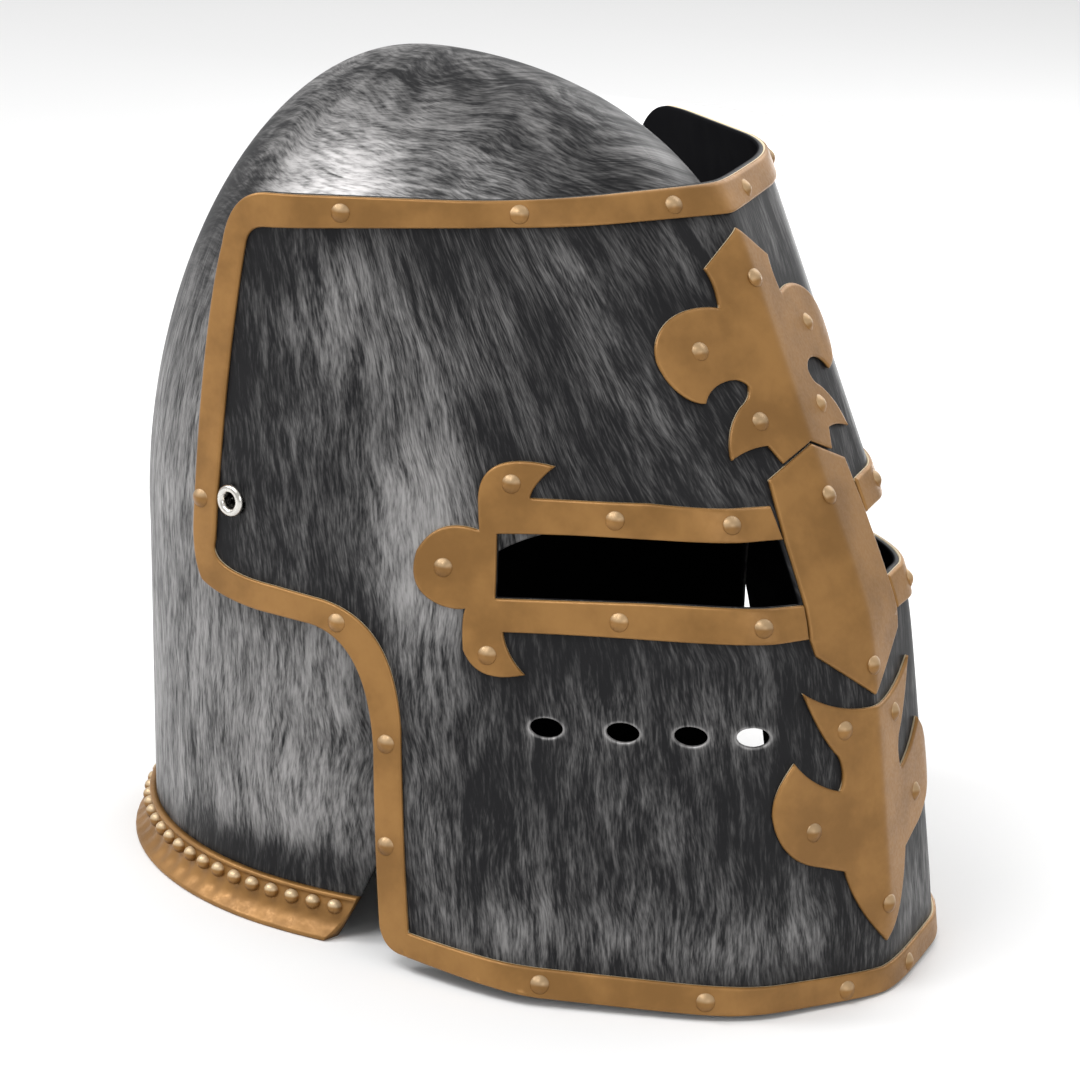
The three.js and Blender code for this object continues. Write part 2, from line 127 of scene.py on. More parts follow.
def along_height(z, bottom, middle, top):
    t = np.clip((z - VISOR_BOTTOM) / (VISOR_TOP - VISOR_BOTTOM), -0.03, 1.02)
    return bottom * (1 - t) * (1 - 2 * t) + middle * 4 * t * (1 - t) + top * t * (2 * t - 1)


def spline_weights(steps):
    """Weights of a section polygon's six points, for places and directions along its B-spline."""
    halfway = lambda a, b: 0.5 * (np.eye(6)[a] + np.eye(6)[b])
    joints = [np.eye(6)[0], halfway(1, 2), halfway(2, 3), halfway(3, 4), np.eye(6)[5]]
    places, directions = [], []
    for g in np.linspace(0, 4, steps + 1):
        k = min(int(g), 3)
        t = g - k
        start = joints[k] * (1 - t) + np.eye(6)[k + 1] * t
        finish = np.eye(6)[k + 1] * (1 - t) + joints[k + 1] * t
        places.append(start * (1 - t) + finish * t)
        directions.append(finish - start)
    return np.array(places), np.array(directions)


PLACES, DIRECTIONS = spline_weights(160)


def visor_points(s, z, h):
    """Level-layout points of the visor's surface for arrays of s, z and h."""
    sweep = np.radians(along_height(z, 19.5, 15, 22))
    corner_x = along_height(z, 50, 41, 60)
    from_kink = z + 2.2
    ridge_y = -122.6 + 0.28 * from_kink + 0.18 * np.hypot(from_kink, 8)
    ridge = np.stack([0 * z, ridge_y], 1)
    corner = np.stack([-corner_x, ridge_y + corner_x * np.tan(sweep)], 1)
    temple = np.stack([0 * z - VISOR_HALF_WIDTH, along_height(z, -54, 8, 28)], 1)
    end = np.stack([0 * z - VISOR_HALF_WIDTH, 0 * z + VISOR_BACK_Y], 1)
    before = ridge + (corner - ridge) * along_height(z, 0.5, 0.5, 0.15)[:, None]
    after = corner + (temple - corner) * along_height(z, 0.5, 0.5, 0.6)[:, None]
    polygon = np.stack([ridge, before, corner, after, temple, end], 1)
    places = np.einsum("gk,nkd->ngd", PLACES, polygon)
    directions = np.einsum("gk,nkd->ngd", DIRECTIONS, polygon)
    steps = np.linalg.norm(np.diff(places, axis=1), axis=2)
    lengths = np.concatenate([0 * z[:, None], np.cumsum(steps, 1)], 1)
    # Offset faces meet on the ridge in a mitre, which fades out along the section.
    run = s - h * np.tan(sweep) * np.exp(-s / 12)
    k = np.clip((lengths > run[:, None]).argmax(1) - 1, 0, len(PLACES) - 2)
    k = np.where(run > lengths[:, -1], len(PLACES) - 2, k)
    row = np.arange(len(z))
    share = (run - lengths[row, k]) / steps[row, k]
    inside = np.clip(share, 0, 1)[:, None]
    along = directions[row, k] * (1 - inside) + directions[row, k + 1] * inside
    along /= np.linalg.norm(along, axis=1)[:, None]
    point = places[row, k] * (1 - share[:, None]) + places[row, k + 1] * share[:, None]
    low, high = np.clip((-82 - z) / 24, 0, 1), np.clip((z - 100) / 18, 0, 1)
    rounding = RIDGE_SOFTNESS + 10 * low**1.5 + 5 * high**1.5
    soft = np.tan(sweep) * (np.hypot(s, rounding) - s)
    x = np.where(s < 1e-4, 0, point[:, 0] - h * along[:, 1])
    return np.stack([x, point[:, 1] + h * along[:, 0] + soft, z], 1)


# ---- The skull's surface -------------------------------------------------------------------------
# u is the turn from the back (0) through the wearer's right to the front, in millimetres at the base's
# radius, and v is the height up to z = 0 and then a length over the dome.

TURN_RADIUS = 93.0
CROWN_V = CROWN_HEIGHT * math.pi / 2


def skull_points(u, z, h):
    """Level-layout points at height z of the skull's surface, h outside its outer face."""
    crown = CROWN_HEIGHT + h
    t = np.clip((z - SKULL_STRAIGHT_UP_TO) / (crown - SKULL_STRAIGHT_UP_TO), 0, 1)
    closing = 1 - t**1.87
    half = (SKULL_HALF_WIDTH + h) * closing**0.56
    back = (SKULL_BACK + h) * closing**0.45
    brow = np.sqrt(1 - np.clip(z / crown, 0, 1) ** 4)
    middle = SKULL_MIDDLE_Y + (CROWN_Y - SKULL_MIDDLE_Y) * t
    front = middle - CROWN_Y + (SKULL_FRONT + h) * brow
    side, fore = np.sin(u / TURN_RADIUS), np.cos(u / TURN_RADIUS)
    power = np.where(fore < 0, 2 / 1.8, 1.0)
    reach = np.where(fore < 0, -front, back)
    x = -half * np.sign(side) * np.abs(side) ** power
    return np.stack([x, middle + reach * np.abs(fore) ** power, z], 1)


def skull_sheet(u, v, h):
    """The same with v in place of z."""
    crown = CROWN_HEIGHT + h
    z = np.where(v < 0, v, crown * np.sin(np.clip(v / CROWN_HEIGHT, 0, math.pi / 2)))
    return skull_points(u, z, h)


# ---- Outlines ------------------------------------------------------------------------------------


def bezier(ends, t):
    rows = [np.asarray(p, float) for p in ends]
    while len(rows) > 1:
        rows = [a + (b - a) * t for a, b in zip(rows, rows[1:])]
    return rows[0]


def traced(start, steps, spacing=1.0, closed=True):
    """Points along steps: two numbers are a line, four a quadratic and six a cubic curve."""
    points = [np.asarray(start, float)]
    for step in steps + ([tuple(start)] if closed else []):
        ends = [points[-1]] + [np.array(step[i : i + 2], float) for i in range(0, len(step), 2)]
        length = sum(np.linalg.norm(b - a) for a, b in zip(ends, ends[1:]))
        count = max(1, round(length / spacing))
        points += [bezier(ends, i / count) for i in range(1, count + 1)]
    return np.array(points[:-1] if closed else points)


VISOR_EDGE = [
    (137.4, VISOR_TOP),
    (149.5, 117.5, 158.7, 101.8),
    (174.2, 80, 205, 18.4),
    (211, 6, 209.2, 0.3),
    (204, -4, 190.5, -5.7),
    (178, -6.6, 172.3, -7.1),
    (154, -9.5, 154.8, -40.7),
    (159.4, -93),
    (159, -99.8, 153, -100.6),
    (110, -106.8),
    (55, -111.6),
    (0, -114.2),
]
BORDER_INNER_EDGE = [
    (0, -106.6),
    (50, -103.4),
    (110, -98.5),
    (149.4, -93.6),
    (145.4, -34.4),
    (145, -1.5, 168.1, 0.9),
    (181.8, 2.5),
    (206, 4, 199.2, 12.8),
    (172.4, 66, 150.7, 102),
    (147.6, 107.4, 142.5, 107.8),
    (72, 110.6),
    (30, 110),
    (0, 109.5),
]
EYE_SLOT_START = (21.1, 4.4)
EYE_SLOT_EDGE = [
    (52, 7.2, 75, 6.3),
    (112, 5.2),
    (105, 23.6),
    (63, 26, 20.8, 22.4),
]
EYE_FRAME_REST = [
    (21.2, 31.6),
    (57, 34.6),
    (91.4, 34.4),
    (89, 38.5, 80.5, 43.8),
    (101, 48, 107, 33.5),
    (108.5, 29.5, 110, 24.4),
    (121, 28, 131, 17.5),
    (139, 6, 129, 2.2),
    (125, 1, 122, 1.7),
    (124.5, -2, 124.9, -10),
    (122, -20, 107.2, -16.2),
    (112.4, -11, 112.2, -4.3),
    (70, -3, 22.2, -5),
]
UPPER_FLEUR = [
    (15.5, 95.6),
    (13.6, 91, 15.2, 85),
    (27, 87.6, 40.5, 83, 41.3, 73),
    (41.2, 66.5, 36.5, 61, 30.6, 60.6),
    (28, 64.5, 21.9, 65.5),
    (16.5, 66.3, 14.6, 63.5),
    (15, 60.2, 19.4, 58.3),
    (27.5, 53, 28.9, 44.9),
    (22, 47.5, 15, 47.2),
    (12, 41.9),
    (0, 46.6),
]
CENTRE_PLATE = [
    (18.7, 38.3),
    (20.2, 22.4),
    (20.7, 4.4),
    (21.7, -5),
    (20.4, -10.2),
    (0, -24.8),
]
LOWER_FLEUR = [
    (14, -28.5, 26.3, -19.9),
    (21, -34, 15, -40.5),
    (12.4, -46, 15.3, -50.6),
    (25, -47.5, 31, -39.6),
    (38.4, -46, 39, -54),
    (38.4, -68, 24, -71.6),
    (19, -73.3, 15.3, -74.5),
    (12, -88, 0, -98.5),
]
VENTS = [42.5, 60.4, 80.1, 102.4]
VENT_Z = -31.3
VENT_HALF_WIDTH, VENT_HALF_HEIGHT = 4.8, 2.8
PIVOT_HOLE = 3.5

TRIM_OUTLINES = {
    "visor_border": ((0, VISOR_TOP), VISOR_EDGE + BORDER_INNER_EDGE),
    "upper_fleur": ((0, 105.5), UPPER_FLEUR),
    "centre_plate": ((0, 45.9), CENTRE_PLATE),
    "lower_fleur": ((0, -28), LOWER_FLEUR),
    "eye_frame_right": (EYE_SLOT_START, EYE_SLOT_EDGE + EYE_FRAME_REST),
}
TRIM_LOOPS = {node: traced(*outline) for node, outline in TRIM_OUTLINES.items()}


def ellipse(s, z, half_s, half_z, count=36):
    turns = np.linspace(0, 2 * math.pi, count, endpoint=False)
    return np.stack([s + half_s * np.cos(turns), z + half_z * np.sin(turns)], 1)


# The face opening beside the cheek, in (y, z).
CHEEK_FOOT = (10, -112)
CHEEK_CURVE = (-8, -84, -18, -56, -20, -30)


def face_opening():
    """The skull's edge round the face in (u, z), from its foot beside the cheek up to the brow."""
    steps = [CHEEK_CURVE, (-22, 4, -34, 22, -58, 23), (-90, 24.2)]
    side = traced(CHEEK_FOOT, steps, closed=False)
    y, z = side.T
    t = np.clip((z - SKULL_STRAIGHT_UP_TO) / (CROWN_HEIGHT - SKULL_STRAIGHT_UP_TO), 0, 1)
    middle = SKULL_MIDDLE_Y + (CROWN_Y - SKULL_MIDDLE_Y) * t
    front = middle - CROWN_Y + SKULL_FRONT * np.sqrt(1 - np.clip(z / CROWN_HEIGHT, 0, 1) ** 4)
    fore = (middle - y) / front
    kept = (fore < 1) & (z > resting_z(y) + SKULL_FOOT)
    u = TURN_RADIUS * (math.pi - np.arccos(fore[kept] ** 0.9))
    v = np.where(z[kept] < 0, z[kept], CROWN_HEIGHT * np.arcsin(np.clip(z[kept] / CROWN_HEIGHT, 0, 1)))
    edge = np.stack([u, v], 1)
    brow = edge[-1].copy()
    brow[0] = math.pi * TURN_RADIUS
    return np.vstack([edge, brow])


# ---- Sheets: an outline with rounded edges, triangulated flat and then placed on a surface -------


def area(loop):
    x, y = loop.T
    return 0.5 * np.sum(x * np.roll(y, -1) - y * np.roll(x, -1))


def inset(loop, distance, on_seam):
    """Moves a loop into the material on its left. Points on a seam stay on it; tips are moved less."""
    before, after = np.roll(loop, 1, 0), np.roll(loop, -1, 0)
    unit = lambda rows: rows / np.maximum(np.linalg.norm(rows, axis=1), 1e-9)[:, None]
    e1, e2 = unit(loop - before), unit(after - loop)
    n1, n2 = np.stack([-e1[:, 1], e1[:, 0]], 1), np.stack([-e2[:, 1], e2[:, 0]], 1)
    cosine = np.sum(n1 * n2, 1)
    turning = np.arctan2(e1[:, 0] * e2[:, 1] - e1[:, 1] * e2[:, 0], np.sum(e1 * e2, 1))
    reach = np.full(len(loop), float(distance))
    spacing = np.linalg.norm(after - loop, axis=1).mean()
    for i in np.flatnonzero((turning > math.radians(50)) & ~on_seam):
        half = math.tan((math.pi - turning[i]) / 2)
        away = np.linalg.norm(loop - loop[i], axis=1)
        limit = 0.75 * np.maximum(away, 0.45 * spacing) * half
        reach = np.minimum(reach, limit)
    mitre = (n1 + n2) / np.maximum(1 + cosine, 0.3)[:, None]
    moved = loop + mitre * reach[:, None]
    for i in np.flatnonzero(on_seam):
        first, last = on_seam[i - 1], on_seam[(i + 1) % len(loop)]
        if first and last:
            moved[i] = loop[i]
            continue
        normal, tangent = (n2[i], -e1[i]) if first else (n1[i], e2[i])
        moved[i] = loop[i] + tangent * distance / max(abs(normal @ tangent), 0.3)
    return moved


def inside(points, loop):
    """Which points lie inside a closed loop."""
    x, y = points[:, 0][:, None], points[:, 1][:, None]
    (ax, ay), (bx, by) = loop.T, np.roll(loop, -1, 0).T
    crosses = (ay > y) != (by > y)
    with np.errstate(divide="ignore", invalid="ignore"):
        at = ax + (y - ay) * (bx - ax) / (by - ay)
    return (crosses & (x < at)).sum(1) % 2 == 1


def clear_of(points, loop, distance):
    """Which points are farther than a distance from every point of a loop."""
    kept = np.ones(len(points), bool)
    for part in np.array_split(loop, max(1, len(loop) // 200)):
        gaps = np.linalg.norm(points[:, None] - part[None], axis=2)
        kept &= gaps.min(1) > distance
    return kept


def sheet(
    name, outline, place, levels, holes=(), cell=2.5, radius=0.6, seam=None, extra=None, mirror=True
):
    """A closed mesh of the given flat outline between levels (outer, inner) of a surface.

    seam(points) says which points of the outline lie on the mirror plane or at the pole, where no edge is.
    """
    outer, inner = levels
    loops = [outline if area(outline) > 0 else outline[::-1]]
    loops += [hole if area(hole) < 0 else hole[::-1] for hole in holes]
    seams = [seam(loop) if seam else np.zeros(len(loop), bool) for loop in loops]
    angles = np.radians([90, 60, 30, 0])
    round_off = [(radius * (1 - math.sin(a)), radius * (1 - math.cos(a))) for a in angles]
    rings = [*round_off, (radius + 0.35, 0)]
    flat, starts = [], []  # rings of flat points from the edge inwards, and the first index of each
    for loop, on_seam in zip(loops, seams):
        starts.append([])
        for distance, _ in rings:
            starts[-1].append(sum(map(len, flat)))
            flat.append(inset(loop, distance, on_seam))
    drops = np.concatenate([np.full(len(loop), drop) for loop in loops for _, drop in rings])
    ring_count = sum(map(len, flat))
    last = [flat[i * len(rings) + len(rings) - 1] for i in range(len(loops))]

    lo, hi = outline.min(0), outline.max(0)
    across = np.arange(math.floor(lo[0] / cell), hi[0] / cell + 1) * cell
    up = np.arange(math.floor(lo[1] / cell), hi[1] / cell + 1) * cell
    grid = np.stack(np.meshgrid(across, up), 2).reshape(-1, 2)
    if extra is not None:
        columns = np.stack(np.meshgrid(extra, up), 2).reshape(-1, 2)
        grid = np.vstack([grid[grid[:, 0] > max(extra) + 0.4 * cell], columns])
    for i, loop in enumerate(last):
        grid = grid[inside(grid, loop) != (i > 0)]
        grid = grid[clear_of(grid, loop, 0.45 * min(cell, 1.6))]
    flat = np.vstack([*flat, grid])
    drops = np.concatenate([drops, np.zeros(len(grid))])

    # Triangulates what lies within the last rings.
    used, edges = [], []
    for start, loop in zip(starts, loops):
        first = len(used)
        used += range(start[-1], start[-1] + len(loop))
        edges += [(first + j, first + (j + 1) % len(loop)) for j in range(len(loop))]
    used += range(ring_count, len(flat))
    verts, _, faces, origins, _, _ = delaunay_2d_cdt([Vector(flat[i]) for i in used], edges, [], 0, 1e-7)
    if any(not origin for origin in origins):
        raise ValueError(name + ": its outline crosses itself")
    index = [used[origin[0]] for origin in origins]
    spots = np.array([sum((verts[i] for i in face), Vector((0, 0))) / len(face) for face in faces])
    keep = inside(spots, last[0])
    for loop in last[1:]:
        keep &= ~inside(spots, loop)
    top = [tuple(index[i] for i in face) for face, good in zip(faces, keep) if good]

    count = len(flat)
    polygons = top + [tuple(count + i for i in reversed(face)) for face in top]
    for start, loop, on_seam in zip(starts, loops, seams):
        size = len(loop)
        for j in range(size):
            nxt = (j + 1) % size
            if on_seam[j] and on_seam[nxt]:
                continue
            for a, b in zip(start, start[1:]):
                polygons.append((a + j, a + nxt, b + nxt, b + j))
                polygons.append((count + b + j, count + b + nxt, count + a + nxt, count + a + j))
            polygons.append((start[0] + nxt, start[0] + j, count + start[0] + j, count + start[0] + nxt))
    s, z = flat.T
    outer_points = place(s, z, outer - drops)
    inner_points = place(s, z, inner + drops)
    points = np.vstack([outer_points, inner_points])
    charts = np.vstack([np.stack([s, z, 0 * s + outer], 1), np.stack([s, z, 0 * s + inner], 1)])
    if mirror:
        polygons += [tuple(2 * count + i for i in reversed(face)) for face in polygons]
        points = np.vstack([points, points * [-1, 1, 1]])
        charts = np.vstack([charts, charts * [-1, 1, 1]])
    return mesh_object(name, points, polygons, charts)


def closed_object(mesh, weld):
    """Makes an object of a mesh, welds its doubled points, turns its faces outwards and smooths it."""
    obj = bpy.data.objects.new(mesh.name, mesh)
    bpy.context.collection.objects.link(obj)
    bm = bmesh.new()
    bm.from_mesh(mesh)
    bmesh.ops.remove_doubles(bm, verts=bm.verts, dist=weld)
    bmesh.ops.dissolve_degenerate(bm, edges=bm.edges, dist=1e-7)
    bmesh.ops.recalc_face_normals(bm, faces=bm.faces)
    bm.to_mesh(mesh)
    bm.free()
    mesh.shade_smooth()
    return obj


def mesh_object(name, points, polygons, charts):
    """An object from level-layout points, its chart kept for the brush strokes."""
    mesh = bpy.data.meshes.new(name)
    mesh.from_pydata(to_world(points).tolist(), [], polygons)
    chart = mesh.attributes.new("chart", "FLOAT_VECTOR", "POINT")
    chart.data.foreach_set("vector", (charts * MM).astype(np.float32).ravel())
    return closed_object(mesh, 2e-6)


def on_ridge(loop):
    return np.abs(loop[:, 0]) < 1e-6


RIDGE_COLUMNS = [0.5, 1.0, 1.6, 2.4, 3.6, 5.2, 7.4]


def visor_shell():
    pivot_s = float(np.interp(PIVOT[1], *pivot_run()))
    holes = [traced(EYE_SLOT_START, EYE_SLOT_EDGE)]
    holes += [ellipse(s, VENT_Z, VENT_HALF_WIDTH, VENT_HALF_HEIGHT) for s in VENTS]
    holes += [ellipse(pivot_s, PIVOT[2], PIVOT_HOLE, PIVOT_HOLE)]
    outline = traced((0, VISOR_TOP), VISOR_EDGE)
    return sheet(
        "visor_shell_fine", outline, visor_points, (0, -WALL), holes, seam=on_ridge, extra=RIDGE_COLUMNS
    )


def pivot_run():
    """y and s along the visor's section at the hinge's height."""
    s = np.linspace(150, 215, 200)
    return visor_points(s, 0 * s + PIVOT[2], 0 * s)[:, 1], s


def trim(node):
    """Raised trim from its outline. The eye frame keeps to one side; the others cross the ridge."""
    crosses = node != "eye_frame_right"
    return sheet(
        node + "_fine",
        TRIM_LOOPS[node],
        visor_points,
        (TRIM_TOP, TRIM_FOOT),
        cell=2.0,
        radius=0.75,
        seam=on_ridge if crosses else None,
        extra=RIDGE_COLUMNS if crosses else None,
        mirror=crosses,
    )


def skull_shell():
    edge = face_opening()
    half_turn = math.pi * TURN_RADIUS
    foot_u = np.linspace(0, edge[0][0], 220)
    y = skull_points(foot_u, 0 * foot_u, 0 * foot_u)[:, 1]
    foot = np.stack([foot_u, resting_z(y) + SKULL_FOOT], 1)[:-1]
    front = traced(edge[-1], [(half_turn, CROWN_V)], 2.5, False)[1:]
    pole = traced(front[-1], [(0, CROWN_V)], 2.5, False)[1:]
    back = traced(pole[-1], [tuple(foot[0])], 2.5, False)[1:-1]
    outline = np.vstack([foot, edge, front, pole, back])

    def seam(loop):
        u, v = loop.T
        return (u < 1e-6) | (u > half_turn - 1e-6) | (v > CROWN_V - 1e-6)

    turn = TURN_RADIUS * math.acos((PIVOT[1] - SKULL_MIDDLE_Y) / SKULL_BACK)
    hole = ellipse(turn, PIVOT[2], PIVOT_HOLE, PIVOT_HOLE)
    return sheet("skull_shell_fine", outline, skull_sheet, (0, -WALL), [hole], seam=seam)


# ---- Neck band -----------------------------------------------------------------------------------

BAND_SECTION = [
    (0.0, 13.5),
    (1.2, 13.5),
    (1.75, 13.35),
    (2.1, 12.9),
    (2.0, 12.35),
    (1.55, 12.1),
    (1.45, 11.2),
    (1.5, 8.9),
    (1.75, 7.3),
    (2.3, 5.6),
    (3.3, 4.0),
    (4.7, 2.6),
    (6.0, 1.7),
    (6.5, 1.2),
    (6.6, 0.6),
    (6.2, 0.1),
    (5.6, 0.0),
    (0.0, 0.0),
]
BEAD_RADIUS = 2.3
BEAD_PITCH = 7.2
BEAD_OUT = 1.9
BEAD_UP = 9.6
SCALLOP = 0.35


def beside_base(turn, out, up):
    """Points beside the skull's base, moved out along the normal and up from the resting plane."""
    turn, out, up = np.broadcast_arrays(turn, out, up)
    u = turn * TURN_RADIUS
    zero = 0 * u
    here = skull_points(u, zero, zero)
    along = skull_points(u + 0.1, zero, zero) - skull_points(u - 0.1, zero, zero)
    along /= np.linalg.norm(along, axis=1)[:, None]
    x = here[:, 0] + along[:, 1] * -out
    y = here[:, 1] + along[:, 0] * out
    outwards = here[:, 0] * (x - here[:, 0]) + (here[:, 1] - SKULL_MIDDLE_Y) * (y - here[:, 1])
    sign = np.where(outwards < 0, -1, 1)
    x = here[:, 0] + sign * (x - here[:, 0])
    y = here[:, 1] + sign * (y - here[:, 1])
    return np.stack([x, y, resting_z(y) + up], 1)


def opening_turn(out, up):
    """The turn at which a line beside the base meets the face opening's edge."""
    side = traced(CHEEK_FOOT, [CHEEK_CURVE], closed=False)
    turns = np.linspace(1.2, 2.6, 400)
    line = beside_base(turns, out, up)
    past = line[:, 1] < np.interp(line[:, 2], side[:, 1], side[:, 0])
    return turns[past.argmax()]


def neck_band():
    """A swept band, its lower part scalloped under each bead of the row that sits on it."""
    steps = 460
    ends = [opening_turn(out, up) for out, up in BAND_SECTION]
    base = beside_base(np.linspace(0, 2, 800), 0, 0)
    run = np.concatenate([[0], np.cumsum(np.linalg.norm(np.diff(base, axis=0), axis=1))])
    points = []
    for i in range(steps + 1):
        share = i / steps
        turns = np.array(ends) * share
        outs, ups = np.array(BAND_SECTION).T
        phase = np.interp(turns, np.linspace(0, 2, 800), run) / BEAD_PITCH * 2 * math.pi
        hollow = np.exp(-(((ups - 4.6) / 2.2) ** 2)) * (outs > 0.5)
        outs = outs + SCALLOP * hollow * np.cos(phase)
        points.append(beside_base(turns, outs, ups))
    right = np.vstack(points)
    across = len(BAND_SECTION)
    polygons = []
    for i in range(steps):
        for j in range(across):
            nxt = (j + 1) % across
            a, b = i * across, (i + 1) * across
            polygons.append((a + j, a + nxt, b + nxt, b + j))
    polygons.append(tuple(steps * across + j for j in range(across)))
    count = len(right)
    polygons += [tuple(count + i for i in reversed(face)) for face in polygons]
    points = np.vstack([right, right * [-1, 1, 1]])
    charts = np.vstack([np.stack([right[:, 1], right[:, 2], 0 * right[:, 0]], 1)] * 2)
    return mesh_object("neck_band_fine", points, polygons, charts)


def bead_row():
    """The beads, joined in one mesh, each an upright dome on the band's face."""
    turns = np.linspace(0, opening_turn(BEAD_OUT, BEAD_UP), 1200)
    line = beside_base(turns, BEAD_OUT, BEAD_UP)
    run = np.concatenate([[0], np.cumsum(np.linalg.norm(np.diff(line, axis=0), axis=1))])
    count = int((run[-1] - 0.45 * BEAD_PITCH) / BEAD_PITCH)
    places = np.interp((np.arange(count + 1)) * BEAD_PITCH, run, turns)
    centres = beside_base(places, BEAD_OUT, BEAD_UP)
    centres = np.vstack([centres, centres[1:] * [-1, 1, 1]])
    rows, columns = 9, 16
    ball = []
    for i in range(1, rows):
        a = math.pi * i / rows
        for j in range(columns):
            b = 2 * math.pi * j / columns
            ball.append((math.sin(a) * math.cos(b), math.sin(a) * math.sin(b), math.cos(a)))
    ball = np.array([*ball, (0, 0, 1), (0, 0, -1)]) * BEAD_RADIUS
    faces = []
    for i in range(rows - 2):
        for j in range(columns):
            nxt = (j + 1) % columns
            a, b = i * columns, (i + 1) * columns
            faces.append((a + j, a + nxt, b + nxt, b + j))
    north, south = len(ball) - 2, len(ball) - 1
    for j in range(columns):
        nxt = (j + 1) % columns
        faces.append((north, nxt, j))
        faces.append((south, (rows - 2) * columns + j, (rows - 2) * columns + nxt))
    points = np.vstack([ball + centre for centre in centres])
    polygons = [tuple(k * len(ball) + i for i in face) for k in range(len(centres)) for face in faces]
    return mesh_object("neck_beads", points, polygons, points)


# ---- Rivets and eyelets --------------------------------------------------------------------------


def lathe(name, profile, matrix, columns=32):
    """A closed profile of (radius, height) turned about its Z axis and placed by a matrix in metres."""
    turns = np.linspace(0, 2 * math.pi, columns, endpoint=False)
    rows = len(profile)
    points = [(r * math.cos(a), r * math.sin(a), up) for a in turns for r, up in profile]
    polygons = []
    for i in range(columns):
        a, b = i * rows, ((i + 1) % columns) * rows
        for j in range(rows):
            nxt = (j + 1) % rows
            polygons.append((a + j, a + nxt, b + nxt, b + j))
    mesh = bpy.data.meshes.new(name)
    mesh.from_pydata([tuple(matrix @ (Vector(p) * MM)) for p in points], [], polygons)
    return closed_object(mesh, 1e-6)


RIVET_RADIUS, RIVET_HEIGHT, RIVET_FOOT = 2.8, 1.3, -0.8


def rivet(name, seat, normal):
    """A low moulded dome whose foot blends into the trim."""
    reach = np.linspace(1, 0, 9)
    profile = [(0, RIVET_FOOT), (RIVET_RADIUS, RIVET_FOOT)]
    profile += [(RIVET_RADIUS * r, RIVET_HEIGHT * (1 - r * r) ** 1.1) for r in reach]
    turn = normal.to_track_quat("Z", "Y").to_matrix().to_4x4()
    return lathe(name, profile, Matrix.Translation(seat) @ turn, 24)


def rivets(tree):
    """One dome for each CAD rivet, seated on the nearest trim."""
    made = []
    for node in sorted(frame["nodes"]):
        if "rivet" not in node:
            continue
        lo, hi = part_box(node)
        seat, normal, _, _ = tree.find_nearest((lo + hi) / 2)
        if abs(seat.x) < 1.5 * MM:
            seat.x = normal.x = 0
            normal.normalize()
        made.append((node, rivet("fine_" + node, seat, normal)))
    return made


EYELET = [
    (2.35, 88.0),
    (4.3, 87.8),
    (4.35, 88.3),
    (3.2, 88.7),
    (3.15, 96.9),
    (3.6, 97.45),
    (4.6, 97.5),
    (4.85, 97.8),
    (4.8, 98.3),
    (4.35, 98.9),
    (3.7, 99.15),
    (3.0, 99.0),
    (2.55, 98.4),
    (2.35, 97.4),
]


def eyelet(side):
    """A nickel eyelet, rolled outside, on the hinge line."""
    sign = -1 if side == "right" else 1
    turn = Vector((sign, 0, 0)).to_track_quat("Z", "Y").to_matrix().to_4x4()
    return lathe("eyelet_" + side, EYELET, Matrix.Translation(Vector(HINGE)) @ turn, 40)


# ---- Materials -----------------------------------------------------------------------------------


class Graph:
    """A material's node tree, built one node at a time."""

    def __init__(self, name):
        self.material = bpy.data.materials.new(name)
        self.material.use_nodes = True
        self.tree = self.material.node_tree
        self.tree.nodes.clear()

    def add(self, kind, settings=None, **inputs):
        node = self.tree.nodes.new(kind)
        for key, value in (settings or {}).items():
            setattr(node, key, value)
        for key, value in inputs.items():
            socket = node.inputs[int(key[1:])] if key[0] == "_" else node.inputs[key.replace("_", " ")]
            if isinstance(value, bpy.types.NodeSocket):
                self.tree.links.new(value, socket)
            else:
                socket.default_value = value
        return node

    def maths(self, operation, a, b=0.0):
        return self.add("ShaderNodeMath", {"operation": operation}, _0=a, _1=b).outputs[0]

    def ranged(self, value, low, high, to_low=0.0, to_high=1.0):
        node = self.add("ShaderNodeMapRange", {"interpolation_type": "SMOOTHSTEP"}, Value=value)
        node.inputs["From Min"].default_value = low
        node.inputs["From Max"].default_value = high
        node.inputs["To Min"].default_value = to_low
        node.inputs["To Max"].default_value = to_high
        return node.outputs["Result"]

    def noise(self, vector, scale, detail=3.0, roughness=0.55):
        node = self.add("ShaderNodeTexNoise", None, Vector=vector, Scale=scale, Detail=detail)
        node.inputs["Roughness"].default_value = roughness
        return node

    def mix(self, factor, a, b):
        node = self.add("ShaderNodeMix", {"data_type": "RGBA"}, _0=factor)
        for socket, value in ((node.inputs[6], a), (node.inputs[7], b)):
            if isinstance(value, bpy.types.NodeSocket):
                self.tree.links.new(value, socket)
            else:
                socket.default_value = (*value, 1)
        return node.outputs[2]

    def blend(self, factor, a, b):
        node = self.add("ShaderNodeMix", {"data_type": "FLOAT"}, _0=factor, _2=a, _3=b)
        return node.outputs[0]

    def split(self, vector):
        return self.add("ShaderNodeSeparateXYZ", None, Vector=vector).outputs

    def join(self, x, y, z):
        return self.add("ShaderNodeCombineXYZ", None, X=x, Y=y, Z=z).outputs[0]

    def finish(self, bump=None, bump_distance=0.0002, bump_strength=1.0, **inputs):
        shader = self.add("ShaderNodeBsdfPrincipled", None, **inputs)
        if bump is not None:
            settings = {"Height": bump, "Distance": bump_distance, "Strength": bump_strength}
            normal = self.add("ShaderNodeBump", None, **settings)
            self.tree.links.new(normal.outputs[0], shader.inputs["Normal"])
        output = self.add("ShaderNodeOutputMaterial")
        self.tree.links.new(shader.outputs[0], output.inputs[0])
        return self.material


SWAY_LENGTH = 0.03
